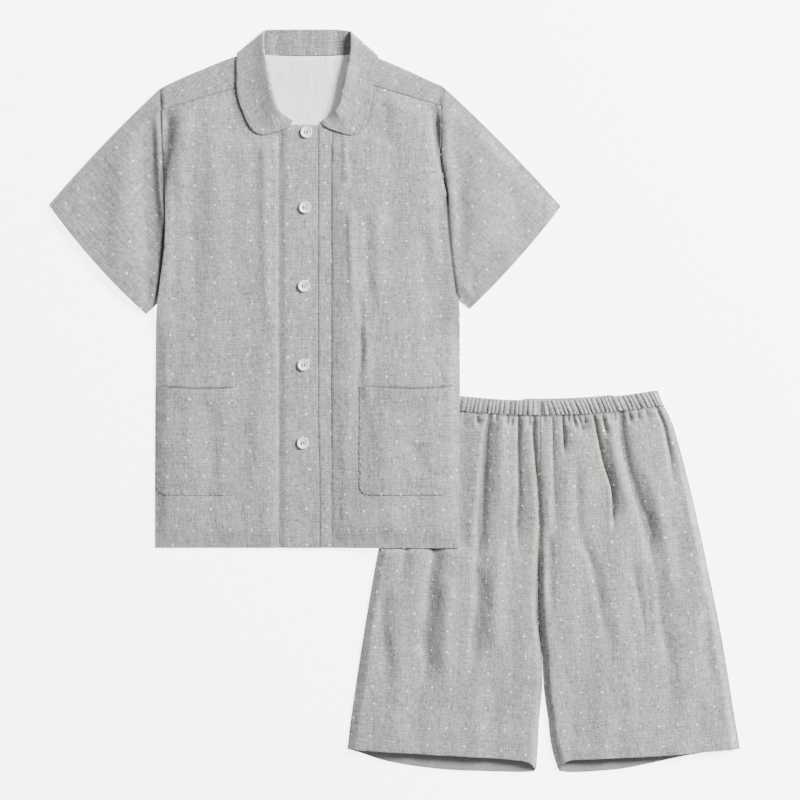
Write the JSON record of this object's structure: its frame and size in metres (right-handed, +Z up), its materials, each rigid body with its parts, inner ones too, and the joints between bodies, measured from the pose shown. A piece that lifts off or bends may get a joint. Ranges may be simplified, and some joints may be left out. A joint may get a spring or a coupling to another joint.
{
  "type": "pyjama set, laid flat",
  "caption": "Short-sleeved buttoned pyjama shirt with a rounded collar and patch pockets, laid flat over gathered elastic-waist shorts, in pale grey double gauze",
  "frame": {"origin": "centre of the bounding box on the surface that the set lies on", "axes": "+Z up out of the surface, +Y towards the collar, +X to the viewer's right when seen from above"},
  "size_m": [0.8994, 0.9664, 0.0124],
  "materials": {
    "gauze": "soft, matt double gauze: grey chambray outside with small pale dots, white inside",
    "button": "semi-gloss white"
  },
  "bodies": {
    "root": {"shirt_back": "gauze", "shirt_front_right": "gauze", "shirt_front_left": "gauze", "band_over": "gauze", "band_under": "gauze", "sleeve_right": "gauze", "sleeve_left": "gauze", "collar": "gauze", "pocket_right": "gauze", "pocket_left": "gauze", "shorts_front_right": "gauze", "shorts_front_left": "gauze", "shorts_back_right": "gauze", "shorts_back_left": "gauze", "waistband": "gauze", "button_1": "button", "button_2": "button", "button_3": "button", "button_4": "button", "button_5": "button"}
  },
  "joints": []
}
